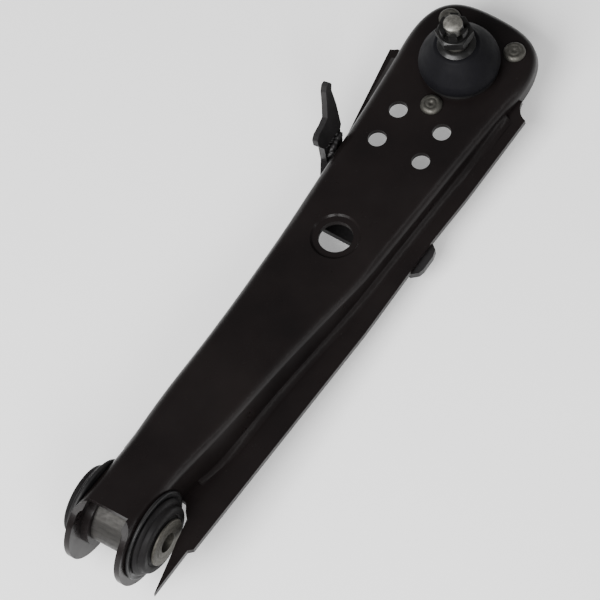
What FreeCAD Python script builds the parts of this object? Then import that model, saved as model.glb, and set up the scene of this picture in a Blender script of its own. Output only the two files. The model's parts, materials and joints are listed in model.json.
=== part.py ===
import FreeCAD, Part
import math
import os
import re
import Sketcher

# Stamped lower control arm with a riveted ball joint and a rubber pivot bushing.
# Millimetres. The origin is the centre of the pivot bore, +X runs to the ball joint,
# +Y runs along the bore, and +Z is the axis of the ball stud.

doc = FreeCAD.newDocument("control_arm")
sheet = doc.addObject("Spreadsheet::Sheet", "dims")

DIMS = {
    # sheet of the pressing
    "sheet_t": 4.0, "bend_r": 7.5, "foot_r": 5.0, "kink_deg": 9.0, "kink_x": 235.0,
    "kink_r": 150.0, "plate_z": -5.85, "web_near_x": -11.9, "web_near_half": 15.0,
    # half widths of the web and of the wall's foot at five stations
    "near_x": 34.0, "near_half": 21.5, "spread_x": 68.0, "spread_half": 22.6, "spread_foot": 27.0,
    "mid_x": 173.0, "mid_half": 27.5, "mid_foot": 31.8, "far_x": 385.0, "far_half": 42.5, "far_foot": 43.5,
    "nose_x": 440.0, "nose_corner_x": 430.5, "nose_corner_half": 35.0,
    # flanges
    "flange_start_z": 1.0, "flange_start_x": -40.0, "flange_low_x": 205.0, "flange_low_z": -22.9,
    "flange_rise_x": 322.0, "flange_end_x": 440.0, "flange_end_z": -12.5, "flange_half": 49.2,
    "flange_far_half": 54.7, "flange_stop_x": 398.0, "flange_cut_r": 12.0,
    "left_lip": 34.0, "left_start_x": 225.0, "left_mid_half": 42.0, "left_far_half": 51.5,
    "left_fillet_x": 350.0, "fillet_sink": 0.2, "back_x": -70.0, "wall_back_x": -60.0, "wall_tuck": 0.15,
    "strip_tip_x": -36.0, "strip_half": 46.8, "strip_step_x": 4.0, "lip_start_x": 47.0,
    # pivot end
    "ear_r": 35.8, "ear_shift": -2.0, "tube_r": 20.5, "collar_r": 24.5, "collar_len": 5.5,
    "shell_r": 17.4, "shell_t": 2.0, "shell_flange_r": 32.0, "shell_flange_t": 2.6,
    "shell_in": 3.0, "rubber_bulge_r": 27.5, "rubber_lip_r": 23.5, "rubber_end": 31.6,
    "sleeve_r": 11.0, "bolt_r": 7.25, "sleeve_half": 34.0, "washer_r": 17.0, "washer_t": 2.0,
    # holes of the web
    "link_x": 247.5, "link_r": 11.5, "seat_r": 15.5, "seat_rim_r": 23.5, "seat_drop": 1.2,
    "strut_x": 335.0, "strut_dx": 25.0, "strut_dy": 34.0, "strut_r": 6.2,
    # ball joint, heights measured from the top of the plate
    "ball_x": 395.7, "ball_drop": 12.0, "ball_r": 13.45, "socket_r": 13.5, "neck_r": 21.0,
    "neck_top": 2.5, "neck_bore": 16.5, "cup_r": 24.0, "cup_bore": 19.0, "cup_drop": 30.0,
    "joint_flange_t": 5.0, "lobe_r": 9.0, "seat_top": 5.6, "rivet_x": 26.0, "rivet_y": 25.3,
    "rivet_in": 34.5, "rivet_r": 4.7, "rivet_head_r": 7.5, "rivet_head": 3.6, "rivet_foot": 3.0,
    "rivet_pit_r": 2.4, "rivet_pit": 0.7,
    "bearing_low": 24.5, "spring_bore": 7.45, "spring_low": 27.6, "cover_t": 2.0, "fitting_r": 3.2,
    "stud_neck_r": 7.4, "taper_r": 8.0, "taper_low": 16.0,
    "taper_top_r": 6.9, "taper_top": 38.0, "thread_r": 6.3, "stud_top": 57.0,
    "nut_low": 38.5, "nut_top": 52.0, "nut_af": 22.0, "nut_bore": 6.35, "slot_w": 4.2,
    "slot_depth": 5.0, "nut_crown": 46.0, "nut_crown_r": 9.6, "pin_z": 49.0, "pin_r": 1.8,
    "boot_r": 27.2, "boot_top_r": 15.5, "boot_top": 28.5, "boot_lip_r": 7.9, "boot_wall": 2.4,
    "boot_foot_r": 24.2, "foot_ring_r": 25.6, "foot_ring_top": 2.6, "lip_ring_r": 10.6,
    "lip_ring_t": 1.8,
    # steering stop bracket
    "strap_t": 5.0, "strap_near_right": 257.0, "strap_far_right": 284.0, "strap_near_left": 299.5,
    "strap_flare_y": 22.0,
    "strap_far_left": 318.0, "strap_right_y": 49.5, "ear_out": 55.0, "upright_y": 43.6,
    "upright_top": -8.0, "blade_tilt": 23.0, "blade_edge_r": 1.6,
    "bead_r": 2.7, "bead_swell": 0.4, "bead_step": 3.4, "bead_side_r": 1.9, "bead_side_len": 11.0,
}
for row, (name, value) in enumerate(DIMS.items(), start=1):
    sheet.set("A%d" % row, name)
    sheet.set("B%d" % row, str(value))
    sheet.setAlias("B%d" % row, name)
doc.recompute()


def mm(text):
    """The number that a sum of sheet names and plain numbers stands for."""
    total = 0.0
    for sign, term in re.findall(r"([+-]?)\s*([\w.]+)", text):
        value = float(term) if term[0].isdigit() else float(sheet.get(term))
        total += -value if sign == "-" else value
    return total


def bound(text):
    """The same sum as an expression on the sheet."""
    return re.sub(r"[a-z]\w*", lambda match: "dims." + match.group(0), text)


def body_plane(body, role):
    return next(part for part in body.Origin.OriginFeatures if part.Role == role)


def outline(body, role, points, height="0", tilt="0"):
    """A closed polygon on an origin plane, each corner held by two bound sizes."""
    sketch = body.newObject("Sketcher::SketchObject", "Outline")
    sketch.AttachmentSupport = [(body_plane(body, role), "")]
    sketch.MapMode = "FlatFace"
    turn = FreeCAD.Rotation(FreeCAD.Vector(1, 0, 0), mm(tilt))
    sketch.AttachmentOffset = FreeCAD.Placement(FreeCAD.Vector(0, 0, mm(height)), turn)
    if height != "0":
        sketch.setExpression("AttachmentOffset.Base.z", bound(height))
    corners = [FreeCAD.Vector(mm(x), mm(y), 0) for x, y in points]
    count = len(corners)
    for index, corner in enumerate(corners):
        sketch.addGeometry(Part.LineSegment(corner, corners[(index + 1) % count]), False)

    for index, (x, y) in enumerate(points):
        sketch.addConstraint(Sketcher.Constraint("Coincident", index, 2, (index + 1) % count, 1))
        for kind, text in (("DistanceX", x), ("DistanceY", y)):
            if text == "0":
                row = Sketcher.Constraint(kind, -1, 1, index, 1, 0.0)
                sketch.addConstraint(row)
                continue
            row = sketch.addConstraint(Sketcher.Constraint(kind, -1, 1, index, 1, mm(text)))
            sketch.setExpression("Constraints[%d]" % row, bound(text))
    return sketch


def turned(label, points, role="XZ_Plane", at=None):
    """A body turned about its own vertical sketch axis."""
    body = doc.addObject("PartDesign::Body", label)
    body.Label = label
    sketch = outline(body, role, points)
    turn = body.newObject("PartDesign::Revolution", "Turned")
    turn.Profile = sketch
    turn.ReferenceAxis = (sketch, ["V_Axis"])
    turn.Angle = 360
    place(body, at)
    return body


def padded(body, sketch, length, reverse=False, middle=False):
    pad = body.newObject("PartDesign::Pad", "Pad")
    pad.Profile = sketch
    pad.Length = mm(length)
    pad.setExpression("Length", bound(length))
    pad.Reversed = reverse
    pad.Midplane = middle
    return pad


def place(item, at):
    if at is None:
        return
    item.Placement.Base = FreeCAD.Vector(*[mm(text) for text in at])
    for axis, text in zip("xyz", at):
        if text != "0":
            item.setExpression("Placement.Base." + axis, bound(text))


def coded(label, shape):
    """A piece whose shape is worked out below from the sheet's sizes."""
    item = doc.addObject("Part::Feature", label)
    item.Label = label
    item.Shape = shape
    return item


def vec(x, y, z):
    return FreeCAD.Vector(x, y, z)


def face_of(points, direction):
    """A prism from a closed polygon."""
    wire = Part.makePolygon(points + [points[0]])
    return Part.Face(wire).extrude(direction)


# ---------------------------------------------------------------- arm pressing

SHEET = mm("sheet_t")
FAR = 200.0
TAN_KINK = math.tan(math.radians(mm("kink_deg")))


def web_z(x):
    """Top of the web before the kink is rounded."""
    return mm("plate_z") + max(0.0, mm("kink_x") - x) * TAN_KINK


def flange_z(x):
    """Top of the flanges before their corners are rounded."""
    if x < mm("flange_low_x"):
        share = (x - mm("flange_start_x")) / mm("flange_low_x - flange_start_x")
        return mm("flange_start_z") + share * mm("flange_low_z - flange_start_z")
    share = max(0.0, (x - mm("flange_rise_x")) / mm("flange_end_x - flange_rise_x"))
    return mm("flange_low_z") + share * mm("flange_end_z - flange_low_z")


def rounded_path(points, radius):
    """Edges of a polyline whose inner corners are rounded."""
    edges = []
    start = points[0]
    for before, corner, after in zip(points, points[1:], points[2:]):
        way_in = (corner - before).normalize()
        way_out = (after - corner).normalize()
        half = way_in.getAngle(way_out) / 2
        reach = radius * math.tan(half)
        first = corner - way_in * reach
        last = corner + way_out * reach
        middle = corner + (way_out - way_in).normalize() * (radius / math.cos(half) - radius)
        edges.append(Part.LineSegment(start, first).toShape())
        edges.append(Part.Arc(first, middle, last).toShape())
        start = last
    edges.append(Part.LineSegment(start, points[-1]).toShape())
    return edges


def side_prism(upper, lower):
    """The space across the arm between two side-view paths."""
    ends = [Part.LineSegment(upper[-1].lastVertex().Point, lower[-1].lastVertex().Point).toShape(),
            Part.LineSegment(lower[0].firstVertex().Point, upper[0].firstVertex().Point).toShape()]
    wire = Part.Wire(Part.__sortEdges__(upper + lower + ends))
    return Part.Face(wire).extrude(vec(0, 2 * FAR, 0))


def web_path(drop):
    back = mm("back_x")
    points = [vec(back, -FAR, web_z(back) - drop), vec(mm("kink_x"), -FAR, mm("plate_z") - drop),
              vec(mm("nose_x") + 30, -FAR, mm("plate_z") - drop)]
    return rounded_path(points, mm("kink_r"))


def flange_path(drop):
    back = mm("back_x")
    nose = mm("nose_x") + 30
    points = [vec(back, -FAR, flange_z(back) - drop),
              vec(mm("flange_low_x"), -FAR, mm("flange_low_z") - drop),
              vec(mm("flange_rise_x"), -FAR, mm("flange_low_z") - drop),
              vec(nose, -FAR, flange_z(nose) - drop)]
    return rounded_path(points, mm("kink_r"))


def flat_path(height):
    first = vec(mm("back_x"), -FAR, height)
    return [Part.LineSegment(first, vec(mm("nose_x") + 30, -FAR, height)).toShape()]


def halfway(first, last):
    """The station midway between two, so that the walls run straight there."""
    return tuple((a + b) / 2 for a, b in zip(first, last))


BACK = (mm("wall_back_x"), mm("near_half - wall_tuck"), mm("near_half - wall_tuck"))
NEAR = (mm("near_x"), mm("near_half - wall_tuck"), mm("near_half - wall_tuck"))
CENTRE = halfway(BACK, NEAR)
STRAIGHT = [BACK, halfway(BACK, CENTRE), CENTRE, halfway(CENTRE, NEAR), NEAR]
SPREAD = (mm("spread_x"), mm("spread_half"), mm("spread_foot"))
MIDDLE = (mm("mid_x"), mm("mid_half"), mm("mid_foot"))
OUTER = (mm("far_x"), mm("far_half"), mm("far_foot"))
STATIONS = STRAIGHT + [SPREAD, halfway(SPREAD, MIDDLE), MIDDLE, halfway(MIDDLE, OUTER), OUTER]


def wall_wire(height, inset):
    """The walls' outline at one height, on the straight line from web edge to foot."""
    side = []
    for x, top, foot in STATIONS:
        rise = (height - flange_z(x)) / (web_z(x) - flange_z(x))
        side.append((x, foot + (top - foot) * rise - inset))
    spread = side[-1][1] + inset - mm("far_half")
    tip = mm("nose_x") + spread - inset
    corner = (mm("nose_corner_x") + spread - inset, mm("nose_corner_half") + spread - inset * 0.8)
    side.append((mm("ball_x") + 16.0, side[-1][1] + 0.6))
    side.append(corner)
    points = [vec(x, y, height) for x, y in side] + [vec(tip, 0, height)]
    points += [vec(x, -y, height) for x, y in reversed(side)]
    curve = Part.BSplineCurve()
    curve.interpolate(points)
    closing = Part.LineSegment(points[-1], points[0])
    return Part.Wire([curve.toShape(), closing.toShape()])


def wall_prism(inset):
    return Part.makeLoft([wall_wire(-45.0, inset), wall_wire(45.0, inset)], True, True)


def rim_edges(solid, drop):
    """Edges round the top of a channel whose web is lowered by drop."""
    found = []
    for edge in solid.Edges:
        first, last = edge.ParameterRange
        heights = []
        for share in (0.1, 0.3, 0.5, 0.7, 0.9):
            point = edge.valueAt(first + (last - first) * share)
            heights.append(abs(point.z + drop - web_z(point.x)))
        ends = [edge.firstVertex().Point.x, edge.lastVertex().Point.x]
        if max(heights) < 1.3 and max(ends) > mm("wall_back_x") + 1:
            found.append(edge)
    return found


def channel_space(inset, bottom):
    """The solid inside the walls, inset from the outer skin all round and rounded on top."""
    solid = wall_prism(inset).common(side_prism(web_path(inset), bottom))
    return solid.makeFillet(mm("bend_r") - inset, rim_edges(solid, inset))


def channel():
    return channel_space(0.0, flange_path(SHEET)).cut(channel_space(SHEET, flat_path(-90.0)))


def flange_plan(stations, side, inner):
    """A prism over one flange's plan: outer edge through stations, inner edge inside the wall."""
    outer = [vec(x, side * y, -FAR / 2) for x, y in stations]
    back = [vec(stations[-1][0], side * inner[1], -FAR / 2), vec(stations[0][0], side * inner[0], -FAR / 2)]
    return face_of(outer + back, vec(0, 0, FAR))


def flanges():
    """Wide on the right with a pointed finger beside the bushing, a narrow lip on the left."""
    band = side_prism(flange_path(0.0), flange_path(SHEET))
    stop = mm("flange_stop_x")
    step = mm("strip_step_x")
    inner = (15.0, mm("far_foot") - 2)
    right = flange_plan([(mm("strip_tip_x"), mm("strip_half") + 0.6), (step - 1, mm("strip_half")),
                         (step + 2, mm("flange_half") + 0.6),
                         (mm("flange_low_x") + 80, mm("flange_half") + 0.8),
                         (stop, mm("flange_far_half") + 0.8)], -1, inner)
    left = flange_plan([(mm("lip_start_x"), mm("left_lip") - 1.5), (mm("left_start_x"), mm("left_lip")),
                        (mm("flange_rise_x"), mm("left_mid_half")),
                        (stop - 8, mm("left_far_half"))], 1, inner)
    plan = right.fuse(left).common(band)
    edge = [(-80, 60), (mm("strip_tip_x"), mm("strip_half") + 0.5), (-10, 41.0), (5, 37.0), (15.5, 34.8),
            (22.8, 33.0), (27, 29.2), (33, 25.5), (34.5, 15), (34.5, 0), (-80, 0)]
    for side in (-1, 1):
        window = face_of([vec(x, side * y, -FAR) for x, y in edge], vec(0, 0, 2 * FAR))
        plan = plan.cut(window)
    radius = mm("flange_cut_r")
    for side, half in ((-1, "flange_far_half"), (1, "left_far_half")):
        y = side * (mm(half) + 3.0)
        plan = plan.cut(Part.makeCylinder(radius, 2 * FAR, vec(stop + 1, y, -FAR)))
    return plan.cut(wall_prism(SHEET / 2))


def pivot_ears():
    """The two round ears, which hang below the flange around the bushing, and their collars."""
    pieces = None
    below = side_prism(web_path(mm("bend_r")), flat_path(-90.0))
    for side in (-1, 1):
        start = side * mm("near_half")
        ear = Part.makeCylinder(mm("ear_r"), SHEET, vec(mm("ear_shift"), start, 0), vec(0, -side, 0))
        ear = ear.common(below)
        length = mm("collar_len") + SHEET
        collar = Part.makeCylinder(mm("collar_r"), length, vec(0, start, 0), vec(0, -side, 0))
        ear = ear.fuse(collar)
        pieces = ear if pieces is None else pieces.fuse(ear)
    return pieces


def joint_seat(solid):
    """The dished seat around the link hole, level with the outer plate."""
    top = mm("plate_z - seat_drop")
    rise = mm("seat_rim_r - seat_r")
    at = vec(mm("link_x"), 0, top - SHEET)
    dish = Part.makeCone(mm("seat_r") - 1.0, mm("seat_rim_r") + 3.0, rise + SHEET, at)
    solid = solid.fuse(dish.common(side_prism(web_path(0.5), flat_path(-60.0))))
    above = Part.makeCone(mm("seat_r"), mm("seat_rim_r"), rise, vec(mm("link_x"), 0, top))
    return solid.cut(above)


def wall_half(x, height):
    """Half width of the walls' outer skin at one place and height."""
    crossing = Part.makeLine(vec(x, -2 * mm("far_half"), height), vec(x, -5, height))
    return -wall_wire(height, 0.0).distToShape(crossing)[1][0][0].y


def foot_fillet(side):
    """The rounded inside corner along the foot of one wall, where it turns out into the flange."""
    radius = mm("foot_r")
    first = mm("lip_start_x") + 3 if side < 0 else mm("left_fillet_x")
    last = mm("far_x") - 2
    sink = mm("fillet_sink")
    count = 13
    sections = []
    for step in range(count):
        x = first + (last - first) * step / (count - 1)
        low = flange_z(x)
        foot = wall_half(x, low)
        shoulder = wall_half(x, low + radius) - sink
        round_off = radius * (1 - math.cos(math.pi / 4))
        top = vec(x, side * shoulder, low + radius)
        middle = vec(x, side * ((foot + shoulder) / 2 + round_off), low + round_off)
        end = vec(x, side * (foot + radius), low - sink)
        below = vec(x, side * (foot + radius), low - 1.5)
        inside = vec(x, side * (shoulder - 1.5), low - 1.5)
        above = vec(x, side * (shoulder - 1.5), low + radius)
        edges = [Part.Arc(top, middle, end).toShape()]
        corners = [end, below, inside, above, top]
        edges += [Part.makeLine(start, stop) for start, stop in zip(corners, corners[1:])]
        sections.append(Part.Wire(edges))
    return Part.makeLoft(sections, True, False)


def arm_pressing():
    near = mm("web_near_x")
    solid = channel()
    keep = Part.makeCylinder(mm("ear_r"), 2 * FAR, vec(mm("ear_shift"), -FAR, 0), vec(0, 1, 0))
    behind = Part.makeBox(120, 2 * FAR, 200, vec(mm("ear_shift") - 120, -FAR, -100))
    half = mm("web_near_half")
    mouth = Part.makeBox(120, 2 * half, 200, vec(near - 120, -half, -100))
    solid = solid.cut(behind.cut(keep)).cut(mouth)
    solid = solid.fuse([pivot_ears(), flanges()]).removeSplitter()
    solid = solid.fuse([foot_fillet(-1), foot_fillet(1)])
    solid = joint_seat(solid)
    for side in (-1, 1):
        start = side * (mm("near_half") + 5)
        solid = solid.cut(Part.makeCylinder(mm("tube_r"), 20, vec(0, start, 0), vec(0, -side, 0)))
    solid = solid.cut(Part.makeCylinder(mm("link_r"), 60, vec(mm("link_x"), 0, -40)))
    solid = solid.cut(Part.makeCylinder(mm("neck_r") + 0.3, 60, vec(mm("ball_x"), 0, -40)))
    for x, y in rivet_places():
        solid = solid.cut(Part.makeCylinder(mm("rivet_r"), 30, vec(mm("ball_x") + x, y, -20)))
    for side_x in (-0.5, 0.5):
        for side_y in (-0.5, 0.5):
            at = vec(mm("strut_x") + side_x * mm("strut_dx"), side_y * mm("strut_dy"), -20)
            solid = solid.cut(Part.makeCylinder(mm("strut_r"), 30, at))
    return solid.removeSplitter()


def rivet_places():
    return [(mm("rivet_x"), mm("rivet_y")), (mm("rivet_x"), -mm("rivet_y")), (-mm("rivet_in"), 0.0)]


coded("arm_pressing", arm_pressing())

# ---------------------------------------------------------------- pivot bushing


def bushing_half(name, side):
    """One pressed-in half: flanged steel shell, bonded rubber and the sleeve's end washer."""
    turn = FreeCAD.Rotation(FreeCAD.Vector(1, 0, 0), 0 if side > 0 else 180)
    wall = "near_half + 0.1"
    shell_out = "near_half + shell_flange_t + 0.1"
    shell = turned("bushing_shell_" + name,
                   [("shell_r - shell_t", "shell_in"), ("shell_r - 0.01", "shell_in"),
                    ("shell_r - 0.01", wall), ("shell_flange_r", wall), ("shell_flange_r", shell_out),
                    ("shell_r - shell_t", shell_out)], "XY_Plane")
    rubber = turned("bushing_rubber_" + name,
                    [("sleeve_r + 0.05", "shell_in"), ("shell_r - shell_t - 0.01", "shell_in"),
                     ("shell_r - shell_t - 0.01", shell_out + " + 0.01"),
                     ("rubber_bulge_r", shell_out + " + 0.01"),
                     ("rubber_bulge_r", shell_out + " + 2"), ("rubber_lip_r", "rubber_end"),
                     ("sleeve_r + 0.05", "rubber_end")], "XY_Plane")
    washer = turned("sleeve_washer_" + name,
                    [("sleeve_r + 0.01", "sleeve_half - washer_t"), ("washer_r", "sleeve_half - washer_t"),
                     ("washer_r", "sleeve_half"), ("sleeve_r + 0.01", "sleeve_half")], "XY_Plane")
    for piece in (shell, rubber, washer):
        piece.Placement.Rotation = turn


bushing_half("left", 1)
bushing_half("right", -1)
turned("pivot_tube",
       [("shell_r", "0 - near_half"), ("tube_r", "0 - near_half"), ("tube_r", "near_half"),
        ("shell_r", "near_half")], "XY_Plane")
turned("inner_sleeve",
       [("bolt_r", "0 - sleeve_half"), ("sleeve_r", "0 - sleeve_half"), ("sleeve_r", "sleeve_half"),
        ("bolt_r", "sleeve_half")], "XY_Plane")

# ---------------------------------------------------------------- ball joint

PLATE = ("ball_x", "0", "plate_z")


def rounded_hull(centres, radius, height, thickness):
    """A plate whose outline wraps circles set at the corners of a triangle."""
    solid = None
    count = len(centres)
    for index, (x, y) in enumerate(centres):
        next_x, next_y = centres[(index + 1) % count]
        run = math.hypot(next_x - x, next_y - y)
        side = vec((next_y - y) / run * radius, -(next_x - x) / run * radius, 0)
        first = vec(x, y, height)
        last = vec(next_x, next_y, height)
        web = face_of([first + side, last + side, last, first], vec(0, 0, thickness))
        disc = Part.makeCylinder(radius, thickness, first)
        solid = web.fuse(disc) if solid is None else solid.fuse([web, disc])
    middle = face_of([vec(x, y, height) for x, y in centres], vec(0, 0, thickness))
    return solid.fuse(middle).removeSplitter()


def ball_joint_housing():
    under = -SHEET
    thick = mm("joint_flange_t")
    order = [rivet_places()[index] for index in (1, 0, 2)]
    flange = rounded_hull(order, mm("lobe_r"), under - thick, thick)
    nest = channel_space(SHEET + 0.4, flat_path(-90.0))
    nest.translate(vec(-mm("ball_x"), 0, -mm("plate_z") + 0.4))
    flange = flange.common(nest)
    cup = Part.makeCylinder(mm("cup_r"), mm("cup_drop") + under, vec(0, 0, -mm("cup_drop")))
    neck = Part.makeCylinder(mm("neck_r"), mm("neck_top") - under, vec(0, 0, under))
    solid = flange.fuse([cup, neck])
    solid = solid.cut(Part.makeCylinder(mm("neck_bore"), 60, vec(0, 0, -40)))
    bore_top = -mm("ball_drop") + mm("seat_top")
    solid = solid.cut(Part.makeCylinder(mm("cup_bore"), 60, vec(0, 0, bore_top - 60)))
    for x, y in rivet_places():
        solid = solid.cut(Part.makeCylinder(mm("rivet_r"), 30, vec(x, y, -20)))
    return solid.removeSplitter()


housing = coded("ball_joint_housing", ball_joint_housing())
place(housing, PLATE)


def ball_joint_rivets():
    """Three shanks, each with a domed head on the plate and a flatter one beneath."""
    rivets = []
    low = -SHEET - mm("joint_flange_t")
    head = mm("rivet_head")
    foot = mm("rivet_foot")
    radius = mm("rivet_head_r")
    pit_r = mm("rivet_pit_r")
    for x, y in rivet_places():
        shank = Part.makeCylinder(mm("rivet_r") - 0.02, SHEET + mm("joint_flange_t"), vec(x, y, low))
        upper = Part.makeCylinder(radius, head, vec(x, y, 0)).common(
            Part.makeSphere(radius * 1.5, vec(x, y, head - radius * 1.5)))
        lower = Part.makeCone(radius - 1.5, radius - 0.2, foot, vec(x, y, low - foot))
        dimple = Part.makeCone(pit_r - 1.4, pit_r, mm("rivet_pit") + 0.1, vec(x, y, head - mm("rivet_pit")))
        rivets.append(shank.fuse([upper, lower]).cut(dimple).removeSplitter())
    return Part.makeCompound(rivets)


rivets = coded("ball_joint_rivets", ball_joint_rivets())
place(rivets, PLATE)


def bearing(label, low, high):
    """A ring of bearing around the ball, between two heights of the cup."""
    ring = Part.makeCylinder(mm("cup_bore") - 0.02, mm(high) - mm(low), vec(0, 0, mm(low)))
    ring = ring.cut(Part.makeSphere(mm("socket_r"), vec(0, 0, -mm("ball_drop"))))
    item = coded(label, ring)
    place(item, PLATE)


bearing("upper_bearing", "0.2 - ball_drop", "seat_top - ball_drop - 0.02")
bearing("lower_bearing", "0 - bearing_low", "0 - ball_drop - 0.2")
turned("preload_spring",
       [("spring_bore", "0 - spring_low"), ("cup_bore - 1", "0 - spring_low"),
        ("cup_bore - 1", "0 - bearing_low - 0.1"), ("spring_bore", "0 - bearing_low - 0.1")], at=PLATE)
turned("housing_cover",
       [("fitting_r", "0 - spring_low - cover_t - 0.1"),
        ("cup_bore - 0.05", "0 - spring_low - cover_t - 0.1"),
        ("cup_bore - 0.05", "0 - spring_low - 0.1"), ("fitting_r", "0 - spring_low - 0.1")], at=PLATE)
turned("grease_fitting",
       [("0", "0 - spring_low - 0.1"), ("fitting_r - 0.02", "0 - spring_low - 0.1"),
        ("fitting_r - 0.02", "0 - spring_low - cover_t - 0.1"),
        ("fitting_r + 2", "0 - spring_low - cover_t - 0.1"),
        ("fitting_r + 2", "0 - cup_drop - 3"), ("fitting_r - 1", "0 - cup_drop - 4"),
        ("fitting_r - 1", "0 - cup_drop - 6"), ("fitting_r", "0 - cup_drop - 7"),
        ("fitting_r - 1.2", "0 - cup_drop - 9"), ("0", "0 - cup_drop - 9")], at=PLATE)


def ball_stud():
    """Ball, neck, locking taper and threaded end with a domed tip."""
    centre = -mm("ball_drop")
    neck_top = mm("taper_low")
    taper = mm("taper_top") - neck_top
    ball = Part.makeSphere(mm("ball_r"), vec(0, 0, centre))
    neck = Part.makeCylinder(mm("stud_neck_r"), neck_top - centre, vec(0, 0, centre))
    cone = Part.makeCone(mm("taper_r"), mm("taper_top_r"), taper, vec(0, 0, neck_top))
    foot = vec(0, 0, mm("taper_top"))
    radius = mm("thread_r")
    thread = Part.makeCylinder(radius, mm("stud_top - taper_top"), foot)
    dome = Part.makeSphere(radius * 1.9, vec(0, 0, mm("stud_top") - radius * 1.9))
    straight = Part.makeCylinder(radius + 1, mm("stud_top - taper_top - 3"), foot)
    thread = thread.common(dome.fuse(straight))
    stud = ball.fuse([neck, cone, thread])
    hole = Part.makeCylinder(mm("pin_r"), 4 * radius, vec(-2 * radius, 0, mm("pin_z")), vec(1, 0, 0))
    return stud.cut(hole).removeSplitter()


stud = coded("ball_stud", ball_stud())
place(stud, PLATE)


def castle_nut():
    """A hexagon below and a slotted round crown above."""
    across_corners = mm("nut_af") / math.cos(math.pi / 6) / 2
    corners = [vec(across_corners * math.cos(k * math.pi / 3), across_corners * math.sin(k * math.pi / 3),
                   mm("nut_low")) for k in range(6)]
    hexagon = face_of(corners, vec(0, 0, mm("nut_crown") - mm("nut_low")))
    half = mm("nut_af") / 2
    height = mm("nut_crown") - mm("nut_low")
    bevel = Part.makeCone(half - 0.3 + height * 1.7, half - 0.3, height, vec(0, 0, mm("nut_low")))
    lower = Part.makeCone(half - 0.3, half - 0.3 + height * 1.7, height, vec(0, 0, mm("nut_low")))
    crown = Part.makeCylinder(mm("nut_crown_r"), mm("nut_top") - mm("nut_crown"), vec(0, 0, mm("nut_crown")))
    nut = hexagon.common(bevel).common(lower).fuse(crown)
    nut = nut.cut(Part.makeCylinder(mm("nut_bore"), 60, vec(0, 0, 20)))
    width = mm("slot_w")
    for k in range(3):
        slot = Part.makeBox(40, width, 20, vec(-20, -width / 2, mm("nut_top") - mm("slot_depth")))
        slot.rotate(vec(0, 0, 0), vec(0, 0, 1), 60 * k)
        nut = nut.cut(slot)
    return nut.removeSplitter()


nut = coded("castle_nut", castle_nut())
place(nut, PLATE)

turned("dust_boot",
       [("neck_r + 0.1", "0.3"), ("boot_foot_r", "0.3"), ("boot_foot_r", "3"), ("boot_r", "4"),
        ("boot_r", "8"), ("boot_r - 2", "14"), ("boot_top_r + 4", "22"), ("boot_top_r", "boot_top - 2"),
        ("boot_top_r", "boot_top"), ("boot_lip_r", "boot_top"), ("boot_lip_r", "boot_top - 4"),
        ("boot_lip_r + 3", "boot_top - 4"), ("boot_top_r + 4 - boot_wall", "22 - boot_wall"),
        ("boot_r - 2 - boot_wall", "14 - 1"), ("boot_r - boot_wall", "8"),
        ("boot_r - boot_wall - 0.5", "4.5"), ("neck_r + 0.1", "3")], at=PLATE)
turned("boot_base_ring",
       [("boot_foot_r + 0.05", "0.1"), ("foot_ring_r", "0.1"), ("foot_ring_r", "foot_ring_top"),
        ("boot_foot_r + 0.05", "foot_ring_top")], at=PLATE)
turned("boot_top_ring",
       [("boot_lip_r - 0.1", "boot_top + 0.1"), ("lip_ring_r", "boot_top + 0.1"),
        ("lip_ring_r", "boot_top + lip_ring_t"), ("boot_lip_r - 0.1", "boot_top + lip_ring_t")], at=PLATE)

# ---------------------------------------------------------------- steering stop bracket

STRAP_TOP = "flange_low_z - sheet_t"


def stop_bracket():
    """A skewed strap under both flanges, with a small ear, an upright and a tilted stop blade."""
    body = doc.addObject("PartDesign::Body", "stop_bracket")
    body.Label = "stop_bracket"
    strap = outline(body, "XY_Plane",
                    [("strap_near_right", "0 - strap_right_y"), ("strap_near_right + 4", "0 - ear_out + 1"),
                     ("strap_near_right + 8", "0 - ear_out"), ("strap_far_right - 8", "0 - ear_out"),
                     ("strap_far_right - 3", "0 - ear_out + 1.5"), ("strap_far_right", "0 - strap_right_y"),
                     ("strap_far_left", "upright_y + strap_t"), ("strap_near_left", "upright_y + strap_t"),
                     ("strap_near_right", "strap_flare_y")],
                    STRAP_TOP)
    padded(body, strap, "strap_t", reverse=True)
    upright = outline(body, "XZ_Plane",
                      [("strap_near_left", STRAP_TOP + " - strap_t"),
                       ("strap_far_left", STRAP_TOP + " - strap_t"),
                       ("strap_far_left", "upright_top"), ("strap_near_left", "upright_top")],
                      "0 - upright_y")
    padded(body, upright, "strap_t", reverse=True)
    doc.recompute()
    return body


BLADE = [(-18.5, -1.0), (-21.3, 4.5), (-20.0, 8.6), (-16.5, 10.8), (-9.7, 12.0), (-4.3, 13.7), (0.7, 21.0),
         (5.3, 28.9), (8.5, 32.0), (12.0, 32.5), (12.5, 29.5), (10.0, 26.5), (7.2, 15.0), (2.0, 0.5),
         (0.0, -1.0)]


def stop_blade():
    """The hooked blade stands on the upright's top edge and leans outwards."""
    far = mm("strap_far_left")
    blade = face_of([vec(far + x, 0, z) for x, z in BLADE], vec(0, mm("strap_t"), 0))
    edges = [edge for edge in blade.Edges if abs(edge.tangentAt(edge.FirstParameter).y) > 0.99]
    blade = blade.makeFillet(mm("blade_edge_r"), edges[1:-2])
    blade.rotate(vec(0, 0, 0), vec(1, 0, 0), -mm("blade_tilt"))
    blade.translate(vec(0, mm("upright_y"), mm("upright_top")))
    return blade


bracket_body = stop_bracket()
blade = coded("stop_blade_shape", stop_blade())
bracket = doc.addObject("Part::MultiFuse", "stop_bracket_whole")
bracket.Shapes = [bracket_body, blade]
bracket.Refine = True
bracket_body.Label = "stop_strap_shape"
bracket.Label = "stop_bracket"


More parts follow.
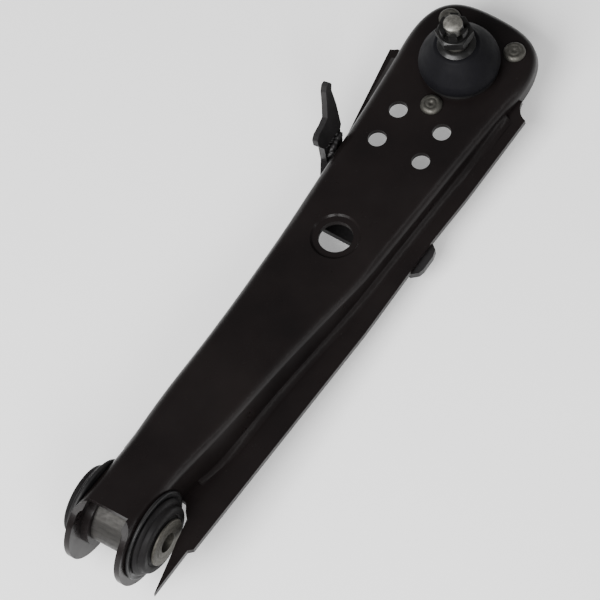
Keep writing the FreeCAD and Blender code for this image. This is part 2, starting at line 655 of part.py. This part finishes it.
def weld_beads():
    """Beads that join the bracket to the left wall and to the right flange's underside."""
    low = mm(STRAP_TOP)
    radius = mm("bead_r")
    step = mm("bead_step")
    count = int(mm("strap_far_left - strap_near_left") / step)
    beads = []
    for index in range(count + 1):
        swell = mm("bead_swell") * math.sin(2.3 * index)
        centre = vec(mm("strap_near_left") + index * step, mm("upright_y") - 1.0, low + SHEET + 1.0)
        beads.append(Part.makeSphere(radius + swell, centre))
    side = beads[0].multiFuse(beads[1:])
    length = mm("bead_side_len")
    lines = [side]
    for x in (mm("strap_near_right"), mm("strap_far_right") + 1.5):
        start = vec(x, -mm("flange_half") + 1.0, low)
        lines.append(Part.makeCylinder(mm("bead_side_r"), length, start, vec(0, 1, 0)))
    pressing = doc.getObject("arm_pressing").Shape
    solids = []
    for line in lines:
        trimmed = line.cut(pressing).cut(bracket.Shape)
        solids += [solid for solid in trimmed.Solids if solid.Volume > 15]
    return Part.makeCompound(solids)


doc.recompute()
coded("stop_bracket_welds", weld_beads())
doc.recompute()

NODES = ["arm_pressing", "pivot_tube", "bushing_shell_left", "bushing_shell_right", "bushing_rubber_left",
         "bushing_rubber_right", "inner_sleeve", "sleeve_washer_left", "sleeve_washer_right",
         "ball_joint_housing", "ball_joint_rivets", "upper_bearing", "lower_bearing", "preload_spring",
         "housing_cover", "grease_fitting", "ball_stud", "castle_nut", "dust_boot", "boot_base_ring",
         "boot_top_ring", "stop_bracket", "stop_bracket_welds"]

SEVERAL = ("ball_joint_rivets", "stop_bracket_welds")

os.makedirs("parts", exist_ok=True)
for item in doc.Objects:
    if "Invalid" in item.State or "Error" in item.State:
        raise RuntimeError("failed object: " + item.Label)
for label in NODES:
    item = doc.getObjectsByLabel(label)[0]
    shape = item.Shape
    if shape.isNull() or not shape.isValid():
        raise RuntimeError("bad shape: " + label)
    if len(shape.Solids) != 1 and label not in SEVERAL:
        raise RuntimeError("split shape: " + label)
    print(label, len(shape.Solids), round(shape.Volume / 1000, 2), "cm3", shape.BoundBox)
    shape.exportStep("parts/" + label + ".step")
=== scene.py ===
import json
import math
import random

import bmesh
import bpy
from mathutils import Matrix, Vector


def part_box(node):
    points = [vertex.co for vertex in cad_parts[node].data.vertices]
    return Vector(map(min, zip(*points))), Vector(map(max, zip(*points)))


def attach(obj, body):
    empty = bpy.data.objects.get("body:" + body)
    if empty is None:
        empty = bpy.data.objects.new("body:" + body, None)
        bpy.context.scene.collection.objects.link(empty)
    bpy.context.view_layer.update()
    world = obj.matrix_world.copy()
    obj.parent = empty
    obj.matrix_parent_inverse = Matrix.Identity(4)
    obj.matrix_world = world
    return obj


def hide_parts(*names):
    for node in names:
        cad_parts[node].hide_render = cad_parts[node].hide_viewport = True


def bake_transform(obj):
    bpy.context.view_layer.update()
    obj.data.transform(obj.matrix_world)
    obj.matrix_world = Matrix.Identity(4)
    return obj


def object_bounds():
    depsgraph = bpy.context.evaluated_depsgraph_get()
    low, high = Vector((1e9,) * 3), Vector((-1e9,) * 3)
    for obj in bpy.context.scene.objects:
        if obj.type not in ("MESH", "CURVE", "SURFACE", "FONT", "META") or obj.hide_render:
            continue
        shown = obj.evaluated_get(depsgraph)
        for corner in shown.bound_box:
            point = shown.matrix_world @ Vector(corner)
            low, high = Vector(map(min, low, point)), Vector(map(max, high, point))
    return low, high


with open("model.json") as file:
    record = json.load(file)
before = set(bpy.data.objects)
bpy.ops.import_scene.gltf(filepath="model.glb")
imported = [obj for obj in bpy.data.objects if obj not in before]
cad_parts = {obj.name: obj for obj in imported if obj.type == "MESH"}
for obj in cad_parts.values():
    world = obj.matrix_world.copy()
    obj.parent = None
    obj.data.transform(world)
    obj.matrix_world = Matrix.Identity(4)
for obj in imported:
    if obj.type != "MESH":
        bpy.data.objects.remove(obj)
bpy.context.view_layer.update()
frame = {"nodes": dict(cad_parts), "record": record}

# A stamped control arm in gloss black paint, with a rubber-booted ball joint at one end
# and a pressed-in rubber bushing at the other. Metres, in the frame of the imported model.

MM = 0.001
random.seed(11)

# The ball joint's axis, and the top of the plate, which the housing's neck passes by
# NECK_ABOVE_PLATE millimetres.
NECK_ABOVE_PLATE = 2.5
stud_low, stud_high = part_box("ball_stud")
STUD_X = (stud_low.x + stud_high.x) / 2
PLATE_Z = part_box("ball_joint_housing")[1].z - NECK_ABOVE_PLATE * MM

# The camera's own axes, then in metres the place it aims at along them, the width of its
# view and its distance, and in millimetres its sensor.
RIGHT = Vector((0.5498, -0.8298, -0.0957))
UP = Vector((0.7518, 0.4414, 0.4901))
AIM_RIGHT = 0.1131
AIM_UP = 0.1414
VIEW_WIDTH = 0.3872
CAMERA_DISTANCE = 14.0
SENSOR_WIDTH = 36.0


# ---------------------------------------------------------------- meshes

def softened(profile, radius, steps=4):
    """The closed profile with every corner rounded by up to radius."""
    result = []
    count = len(profile)
    for index, corner in enumerate(profile):
        corner = Vector(corner)
        before = Vector(profile[index - 1]) - corner
        after = Vector(profile[(index + 1) % count]) - corner
        reach = min(radius, before.length * 0.45, after.length * 0.45)
        first = corner + before.normalized() * reach
        last = corner + after.normalized() * reach
        for step in range(steps + 1):
            share = step / steps
            result.append(first.lerp(corner, share).lerp(corner.lerp(last, share), share))
    return result


def lathe(name, profile, centre, axis, segments=128):
    """A ring turned from a closed profile of (radius, height) in millimetres."""
    turn = Vector((0, 0, 1)).rotation_difference(Vector(axis)).to_matrix().to_4x4()
    place = Matrix.Translation(Vector(centre)) @ turn
    mesh = bmesh.new()
    rings = []
    for step in range(segments):
        angle = 2 * math.pi * step / segments
        ring = []
        for radius, height in profile:
            point = Vector((radius * math.cos(angle), radius * math.sin(angle), height)) * MM
            ring.append(mesh.verts.new(place @ point))
        rings.append(ring)
    count = len(profile)
    for step in range(segments):
        here = rings[step]
        there = rings[(step + 1) % segments]
        for index in range(count):
            after = (index + 1) % count
            mesh.faces.new((here[index], there[index], there[after], here[after]))
    bmesh.ops.remove_doubles(mesh, verts=mesh.verts, dist=1e-7)
    bmesh.ops.recalc_face_normals(mesh, faces=mesh.faces)
    return made(name, mesh)


def made(name, mesh, smooth=True):
    """Turns a finished mesh into an object in the scene."""
    data = bpy.data.meshes.new(name)
    mesh.to_mesh(data)
    mesh.free()
    for face in data.polygons:
        face.use_smooth = smooth
    piece = bpy.data.objects.new(name, data)
    bpy.context.scene.collection.objects.link(piece)
    return piece


# ---------------------------------------------------------------- materials

class Nodes:
    """A Principled material with its node tree at hand."""

    def __init__(self, name, metallic=0.0, coat=0.0, coat_rough=0.05, ior=1.5, gloss=0.5):
        self.material = bpy.data.materials.new(name)
        self.material.use_nodes = True
        self.tree = self.material.node_tree
        self.shader = self.tree.nodes["Principled BSDF"]
        self.shader.inputs["Metallic"].default_value = metallic
        self.shader.inputs["Coat Weight"].default_value = coat
        self.shader.inputs["Coat Roughness"].default_value = coat_rough
        self.shader.inputs["IOR"].default_value = ior
        self.shader.inputs["Specular IOR Level"].default_value = gloss
        self.place = self.tree.nodes.new("ShaderNodeTexCoord").outputs["Object"]

    def noise(self, scale, detail=4.0, rough=0.6, stretch=(1, 1, 1)):
        mapping = self.tree.nodes.new("ShaderNodeMapping")
        mapping.inputs["Scale"].default_value = stretch
        self.tree.links.new(self.place, mapping.inputs["Vector"])
        node = self.tree.nodes.new("ShaderNodeTexNoise")
        node.inputs["Scale"].default_value = scale
        node.inputs["Detail"].default_value = detail
        node.inputs["Roughness"].default_value = rough
        self.tree.links.new(mapping.outputs["Vector"], node.inputs["Vector"])
        return node.outputs["Fac"]

    def ramp(self, source, low_at, low_colour, high_at, high_colour):
        node = self.tree.nodes.new("ShaderNodeValToRGB")
        node.color_ramp.elements[0].position = low_at
        node.color_ramp.elements[0].color = (*low_colour, 1)
        node.color_ramp.elements[1].position = high_at
        node.color_ramp.elements[1].color = (*high_colour, 1)
        self.tree.links.new(source, node.inputs["Fac"])
        return node.outputs["Color"]

    def colour(self, source):
        self.tree.links.new(source, self.shader.inputs["Base Color"])

    def mixed(self, factor, first, second):
        node = self.tree.nodes.new("ShaderNodeMix")
        node.data_type = "RGBA"
        self.tree.links.new(factor, node.inputs["Factor"])
        self.tree.links.new(first, node.inputs["A"])
        self.tree.links.new(second, node.inputs["B"])
        return node.outputs["Result"]

    def roughness(self, source, low_value, high_value):
        node = self.tree.nodes.new("ShaderNodeMapRange")
        node.inputs["From Min"].default_value = 0.3
        node.inputs["From Max"].default_value = 0.7
        node.inputs["To Min"].default_value = low_value
        node.inputs["To Max"].default_value = high_value
        self.tree.links.new(source, node.inputs["Value"])
        self.tree.links.new(node.outputs["Result"], self.shader.inputs["Roughness"])

    def bump(self, *layers):
        """Bumps on top of each other, each a source and a height in metres."""
        before = None
        for source, height in layers:
            node = self.tree.nodes.new("ShaderNodeBump")
            node.inputs["Strength"].default_value = 1.0
            node.inputs["Distance"].default_value = height
            self.tree.links.new(source, node.inputs["Height"])
            if before is not None:
                self.tree.links.new(before, node.inputs["Normal"])
            before = node.outputs["Normal"]
        self.tree.links.new(before, self.shader.inputs["Normal"])


def gloss_paint():
    """Dipped black paint: nearly black, slight flow marks and fine dust."""
    nodes = Nodes("gloss_black_paint", coat=0.05, coat_rough=0.07, gloss=0.11)
    dark, light = (0.0052, 0.0041, 0.0042), (0.0098, 0.0076, 0.0074)
    cloud = nodes.ramp(nodes.noise(14.0), 0.3, dark, 0.75, light)
    dust = nodes.ramp(nodes.noise(900.0, 2.0), 0.70, (0, 0, 0), 0.80, (0.5, 0.5, 0.5))
    pale = nodes.ramp(nodes.noise(60.0), 0.3, (0.03, 0.028, 0.027), 0.7, (0.06, 0.055, 0.052))
    nodes.colour(nodes.mixed(dust, cloud, pale))
    nodes.roughness(nodes.noise(35.0), 0.24, 0.40)
    nodes.bump((nodes.noise(22.0, 2.0), 0.00012), (nodes.noise(420.0, 3.0), 0.000014))
    return nodes.material


def satin_paint():
    """The bracket's duller black, with spatter dust near its welds."""
    nodes = Nodes("satin_paint", coat=0.06, coat_rough=0.25, gloss=0.25)
    dark, light = (0.006, 0.0055, 0.0058), (0.014, 0.013, 0.0135)
    cloud = nodes.ramp(nodes.noise(60.0), 0.3, dark, 0.75, light)
    dust = nodes.ramp(nodes.noise(700.0, 2.0), 0.66, (0, 0, 0), 0.78, (0.6, 0.6, 0.6))
    pale = nodes.ramp(nodes.noise(90.0), 0.3, (0.03, 0.028, 0.028), 0.7, (0.07, 0.066, 0.064))
    nodes.colour(nodes.mixed(dust, cloud, pale))
    nodes.roughness(nodes.noise(90.0), 0.38, 0.56)
    nodes.bump((nodes.noise(120.0), 0.0002), (nodes.noise(700.0), 0.00003))
    return nodes.material


def satin_black():
    """Black plated or phosphated steel."""
    nodes = Nodes("satin_black", coat=0.08, coat_rough=0.25, gloss=0.12)
    dark, light = (0.006, 0.006, 0.0065), (0.016, 0.0155, 0.0155)
    nodes.colour(nodes.ramp(nodes.noise(55.0), 0.3, dark, 0.75, light))
    nodes.roughness(nodes.noise(120.0), 0.32, 0.52)
    nodes.bump((nodes.noise(600.0), 0.00004))
    return nodes.material


def oiled_black():
    """Black oxide with a film of oil, on the castle nut."""
    nodes = Nodes("oiled_black", coat=0.12, coat_rough=0.14, gloss=0.3)
    dark, light = (0.0025, 0.0025, 0.0025), (0.007, 0.0065, 0.006)
    nodes.colour(nodes.ramp(nodes.noise(160.0), 0.35, dark, 0.75, light))
    nodes.roughness(nodes.noise(240.0), 0.26, 0.5)
    nodes.bump((nodes.noise(500.0), 0.00008))
    return nodes.material


def steel(name, dark, light, rough, grain, stretch=(1, 1, 1)):
    """Bare steel with drawn or forged grain and a few stains."""
    nodes = Nodes(name, metallic=0.85)
    grained = nodes.ramp(nodes.noise(grain, 5.0, 0.7, stretch), 0.3, dark, 0.72, light)
    stain = nodes.ramp(nodes.noise(45.0), 0.55, (0, 0, 0), 0.8, (0.55, 0.55, 0.55))
    brown = nodes.ramp(nodes.noise(90.0), 0.3, (0.05, 0.043, 0.036), 0.7, (0.10, 0.088, 0.075))
    nodes.colour(nodes.mixed(stain, grained, brown))
    nodes.roughness(nodes.noise(grain * 1.3), rough, rough + 0.2)
    nodes.bump((nodes.noise(grain, 4.0, 0.7, stretch), 0.00006))
    return nodes.material


def rubber(name, dark, light, rough):
    """Moulded rubber with soft waves and fine pores."""
    nodes = Nodes(name, ior=1.45, gloss=0.12)
    nodes.colour(nodes.ramp(nodes.noise(40.0, 6.0), 0.3, dark, 0.75, light))
    nodes.roughness(nodes.noise(70.0), rough, rough + 0.2)
    nodes.bump((nodes.noise(70.0, 3.0), 0.00012), (nodes.noise(900.0), 0.00003))
    return nodes.material


def nylon():
    """Natural nylon, in the ball's bearings."""
    nodes = Nodes("nylon", ior=1.53)
    nodes.colour(nodes.ramp(nodes.noise(80.0), 0.3, (0.52, 0.49, 0.42), 0.7, (0.66, 0.63, 0.56)))
    nodes.roughness(nodes.noise(200.0), 0.38, 0.55)
    nodes.bump((nodes.noise(700.0), 0.00002))
    return nodes.material


paint = gloss_paint()
bracket_paint = satin_paint()
satin = satin_black()
oiled = oiled_black()
ALONG_TUBE = (1, 0.12, 1)
tube_steel = steel("drawn_steel", (0.022, 0.021, 0.020), (0.052, 0.050, 0.047), 0.44, 320.0,
                   ALONG_TUBE)
washer_steel = steel("washer_steel", (0.045, 0.042, 0.036), (0.085, 0.081, 0.070), 0.48, 500.0)
rivet_steel = steel("rivet_steel", (0.045, 0.043, 0.038), (0.12, 0.116, 0.104), 0.44, 380.0)
stud_steel = steel("stud_steel", (0.12, 0.118, 0.105), (0.30, 0.29, 0.265), 0.36, 420.0)
zinc = steel("zinc_plate", (0.30, 0.29, 0.24), (0.52, 0.50, 0.44), 0.3, 300.0)
bush_rubber = rubber("bushing_rubber", (0.0035, 0.0032, 0.0035), (0.0085, 0.0078, 0.008), 0.46)
boot_rubber = rubber("boot_rubber", (0.0024, 0.0023, 0.0032), (0.0052, 0.0050, 0.0066), 0.55)
plastic = nylon()

LOOKS = {
    "black_paint": paint,
    "black_plate": satin,
    "bare_steel": tube_steel,
    "rivet_steel": rivet_steel,
    "black_nut": oiled,
    "rubber": bush_rubber,
    "boot_rubber": boot_rubber,
    "nylon": plastic,
    "zinc": zinc,
}
for entry in frame["record"]["subparts"]:
    item = frame["nodes"][entry["node"]]
    item.data.materials.clear()
    item.data.materials.append(LOOKS[entry["material_slot"]])
for name in ("sleeve_washer_left", "sleeve_washer_right", "inner_sleeve"):
    frame["nodes"][name].data.materials[0] = washer_steel
frame["nodes"]["stop_bracket"].data.materials[0] = bracket_paint
frame["nodes"]["ball_stud"].data.materials[0] = stud_steel


def finish_piece(piece, material, body, slot, *nodes):
    """Gives a piece its material and body, and hides the nodes it replaces, if any; its slot is
    not used.
    """
    piece.data.materials.append(material)
    if nodes:
        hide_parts(*nodes)
    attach(piece, body)
    return piece


# ---------------------------------------------------------------- ball joint

def dust_boot():
    """The domed boot: a clamped foot, a full belly and a flat top with a thick lip."""
    outer = [(21.2, 0.4), (24.1, 0.4), (24.2, 2.6), (23.6, 3.3), (26.2, 3.9), (27.1, 6.0),
             (27.0, 9.0), (25.8, 13.0), (22.6, 18.2), (18.9, 23.2), (16.3, 26.2), (15.2, 27.6),
             (13.2, 28.4)]
    inner = [(8.3, 28.3), (8.0, 25.2), (11.5, 24.6), (16.0, 22.6), (20.2, 17.4), (23.2, 12.2),
             (24.4, 8.6), (24.4, 5.6), (21.2, 3.4)]
    centre = (STUD_X, 0, PLATE_Z)
    piece = lathe("rubber_boot", softened(outer + inner, 1.4), centre, (0, 0, 1))
    piece.data.materials.append(boot_rubber)
    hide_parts("dust_boot")
    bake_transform(piece)


def stud_thread():
    """A rolled thread of 1.25 mm pitch round the end of the stud."""
    mesh = bmesh.new()
    pitch = 1.25
    per_turn = 48
    first, last = 40.0, 54.2
    root, crest = 5.95, 6.55
    half_width = 0.42 * pitch
    sides = 3
    turns = (last - first) / pitch
    rows = []
    for step in range(int(turns * per_turn) + 1):
        angle = 2 * math.pi * step / per_turn
        height = first + pitch * step / per_turn
        row = []
        for radius, rise in ((root, -half_width), (crest, 0.0), (root, half_width)):
            point = Vector((radius * math.cos(angle), radius * math.sin(angle), height + rise))
            row.append(mesh.verts.new(point * MM + Vector((STUD_X, 0, PLATE_Z))))
        rows.append(row)
    for here, there in zip(rows, rows[1:]):
        for index in range(sides):
            after = (index + 1) % sides
            mesh.faces.new((here[index], there[index], there[after], here[after]))
    mesh.faces.new(rows[0])
    mesh.faces.new(list(reversed(rows[-1])))
    bmesh.ops.recalc_face_normals(mesh, faces=mesh.faces)
    finish_piece(made("stud_thread", mesh), oiled, "stud", "black_nut")


def boot_grease():
    """A thin smear of grease round the stud where it leaves the boot."""
    profile = [(7.9, 28.9), (12.4, 28.6), (13.0, 29.0), (10.4, 30.6), (8.2, 31.2)]
    centre = (STUD_X, 0, PLATE_Z)
    piece = lathe("lip_grease", softened(profile, 0.7), centre, (0, 0, 1), segments=72)
    finish_piece(piece, oiled, "stud_swing", "boot_rubber", "boot_top_ring")


def rivets():
    """Three rivets: a domed head with a pressed ring and centre pip, and a flatter head below."""
    top = [(0.0, 2.5), (0.9, 2.5), (1.3, 2.95), (2.9, 3.05), (3.5, 2.75), (4.0, 2.75),
           (4.5, 3.0), (5.6, 2.8), (6.7, 2.0), (7.4, 0.9), (7.5, 0.3), (7.3, 0.03)]
    shank = [(4.66, 0.0), (4.66, -9.0)]
    under = [(7.3, -9.03), (7.0, -10.8), (5.9, -11.8), (2.5, -12.0), (0.0, -12.0)]
    seats = ((26.0, 25.3), (26.0, -25.3), (-34.5, 0.0))
    for index, (x, y) in enumerate(seats):
        place = (STUD_X + x * MM, y * MM, PLATE_Z)
        name = "rivet_%d" % (index + 1)
        piece = lathe(name, top + shank + under, place, (0, 0, 1), segments=64)
        finish_piece(piece, rivet_steel, "arm", "rivet_steel", "ball_joint_rivets")


# ---------------------------------------------------------------- welds

def bead(name, start, end, radius, ripples, *nodes):
    """A weld bead: overlapping ripples laid along a line, sunk into what it joins."""
    first = Vector(start) * MM
    along = Vector(end) * MM - first
    turn = along.to_track_quat("Z", "Y").to_matrix()
    mesh = bmesh.new()
    rings = []
    steps_per_ripple = 6
    steps = ripples * steps_per_ripple
    sides = 20
    for step in range(steps + 1):
        share = step / steps
        swell = 0.82 + 0.18 * abs(math.sin(math.pi * ripples * share))
        cap = min(1.0, 4.0 * min(share, 1 - share) + 0.25)
        wander = 0.12 * math.sin(9.0 * share + radius)
        ring = []
        for side in range(sides):
            angle = 2 * math.pi * side / sides
            rough = 1 + 0.07 * math.sin(5 * angle + 17 * share) + random.uniform(-0.03, 0.03)
            reach = radius * MM * swell * cap * rough
            sideways = math.cos(angle) * reach + wander * radius * MM
            offset = Vector((sideways, math.sin(angle) * reach, 0))
            ring.append(mesh.verts.new(first + along * share + turn @ offset))
        rings.append(ring)
    for here, there in zip(rings, rings[1:]):
        for side in range(sides):
            after = (side + 1) % sides
            mesh.faces.new((here[side], here[after], there[after], there[side]))
    mesh.faces.new(list(reversed(rings[0])))
    mesh.faces.new(rings[-1])
    bmesh.ops.recalc_face_normals(mesh, faces=mesh.faces)
    finish_piece(made(name, mesh), bracket_paint, "arm", "black_paint", *nodes)


def spatter(name, low_corner, high_corner, count):
    """Small drops of weld metal stuck on the face between two corners."""
    mesh = bmesh.new()
    for _ in range(count):
        size = random.uniform(0.35, 1.1) * MM
        place = Vector([random.uniform(*ends) * MM for ends in zip(low_corner, high_corner)])
        stretch = Matrix.Diagonal((random.uniform(0.8, 1.3), random.uniform(0.8, 1.3), 0.8, 1))
        matrix = Matrix.Translation(place) @ stretch
        bmesh.ops.create_icosphere(mesh, subdivisions=2, radius=size, matrix=matrix)
    finish_piece(made(name, mesh), bracket_paint, "arm", "black_paint")


def welds():
    """Two beads beside the blade, two at the edges of the strap's right end, and spatter."""
    bead("weld_left_lower", (300.5, 42.4, -20.0), (317.0, 43.0, -18.5), 2.6, 6,
         "stop_bracket_welds")
    bead("weld_left_upper", (302.0, 41.4, -15.0), (317.5, 42.4, -13.0), 2.2, 5)
    bead("weld_right_near", (256.5, -47.6, -27.4), (256.5, -38.0, -27.4), 1.5, 4)
    bead("weld_right_far", (285.5, -47.6, -27.4), (285.5, -38.0, -27.4), 1.5, 4)
    spatter("weld_spatter", (300.5, 43.4, -19.0), (317.0, 43.7, -9.0), 42)


dust_boot()
stud_thread()
boot_grease()
rivets()
welds()


# ---------------------------------------------------------------- pivot bushing

def bushing(side, name):
    """One bushing: its flanged shell, the bulging rubber and the sleeve's flared end."""
    axis = (0, side, 0)
    shell = [(15.4, 3.0), (17.4, 3.0), (17.4, 21.65), (31.2, 21.65), (32.0, 22.6), (31.9, 24.0),
             (30.6, 24.1), (29.6, 23.6), (15.4, 23.6)]
    piece = lathe("pressed_shell_" + name, softened(shell, 0.8), (0, 0, 0), axis)
    finish_piece(piece, satin, "arm", "black_plate", "bushing_shell_" + name)
    bulge = [(11.06, 3.0), (15.4, 3.0), (15.4, 23.6), (27.6, 23.7), (28.2, 25.2), (27.0, 27.0),
             (24.9, 27.4), (24.6, 28.2), (24.3, 30.6), (22.8, 31.6), (19.4, 31.6), (18.2, 30.4),
             (17.2, 30.6), (16.0, 31.5), (11.06, 31.5)]
    piece = lathe("bonded_rubber_" + name, softened(bulge, 1.2), (0, 0, 0), axis)
    finish_piece(piece, bush_rubber, "arm", "rubber", "bushing_rubber_" + name)
    washer = [(11.02, 32.0), (16.4, 32.0), (17.0, 32.5), (16.9, 33.6), (16.2, 34.0), (11.02, 34.0)]
    piece = lathe("flared_end_" + name, softened(washer, 0.35), (0, 0, 0), axis)
    finish_piece(piece, washer_steel, "pivot_sleeve", "bare_steel", "sleeve_washer_" + name)


bushing(1, "left")
bushing(-1, "right")


# ---------------------------------------------------------------- floor, lights, camera

# Half way along the arm, in metres, and the strengths of the white surroundings.
MIDDLE_X = 0.2
FLOOR_GLOW = 0.3
WORLD_GLOW = 0.3


def stage_floor():
    """A pale floor 1 mm under the arm, which glows a little so that it stays light."""
    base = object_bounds()[0].z - MM
    mesh = bmesh.new()
    bmesh.ops.create_grid(mesh, x_segments=8, y_segments=8, size=6.0)
    floor = made("studio_floor", mesh, smooth=False)
    floor.location = (MIDDLE_X, 0, base)
    nodes = Nodes("pale_floor")
    nodes.colour(nodes.ramp(nodes.noise(3.0), 0.2, (0.90, 0.90, 0.90), 0.8, (0.94, 0.94, 0.94)))
    nodes.roughness(nodes.noise(8.0), 0.85, 0.95)
    nodes.shader.inputs["Emission Color"].default_value = (1, 1, 1, 1)
    nodes.shader.inputs["Emission Strength"].default_value = FLOOR_GLOW
    floor.data.materials.append(nodes.material)


def softbox(name, direction, distance, width, height, watts):
    """A white area light that faces the middle of the arm from a direction, in metres."""
    data = bpy.data.lights.new(name, "AREA")
    data.shape = "RECTANGLE"
    data.size = width
    data.size_y = height
    data.energy = watts
    lamp = bpy.data.objects.new(name, data)
    bpy.context.scene.collection.objects.link(lamp)
    way = Vector(direction).normalized()
    lamp.location = Vector((MIDDLE_X, 0, 0)) + way * distance
    lamp.rotation_euler = way.to_track_quat("Z", "Y").to_euler()


def lights():
    """A broad key from the bushing end, a fill, and a faint strip along each side."""
    world = bpy.data.worlds.new("studio")
    bpy.context.scene.world = world
    world.use_nodes = True
    back = world.node_tree.nodes["Background"]
    back.inputs["Color"].default_value = (1, 1, 1, 1)
    back.inputs["Strength"].default_value = WORLD_GLOW
    softbox("key", (-0.80, 0.05, 0.85), 2.2, 1.5, 1.5, 95)
    softbox("right_strip", (0.36, -0.80, 0.42), 1.7, 0.12, 1.5, 2.5)
    softbox("left_strip", (0.36, 0.92, 0.20), 1.7, 0.10, 1.4, 2.5)
    softbox("front_fill", (-0.9, -0.9, 0.9), 2.2, 0.8, 0.8, 25)


def camera():
    """A long lens, square on to the arm's own tilted view."""
    data = bpy.data.cameras.new("camera")
    data.sensor_width = SENSOR_WIDTH
    data.lens = SENSOR_WIDTH * CAMERA_DISTANCE / VIEW_WIDTH
    data.clip_end = 50
    eye = bpy.data.objects.new("camera", data)
    bpy.context.scene.collection.objects.link(eye)
    back = RIGHT.cross(UP).normalized()
    target = RIGHT * AIM_RIGHT + UP * AIM_UP
    spin = Matrix((RIGHT, UP, back)).transposed().to_4x4()
    eye.matrix_world = Matrix.Translation(target + back * CAMERA_DISTANCE) @ spin
    bpy.context.scene.camera = eye


stage_floor()
lights()
camera()
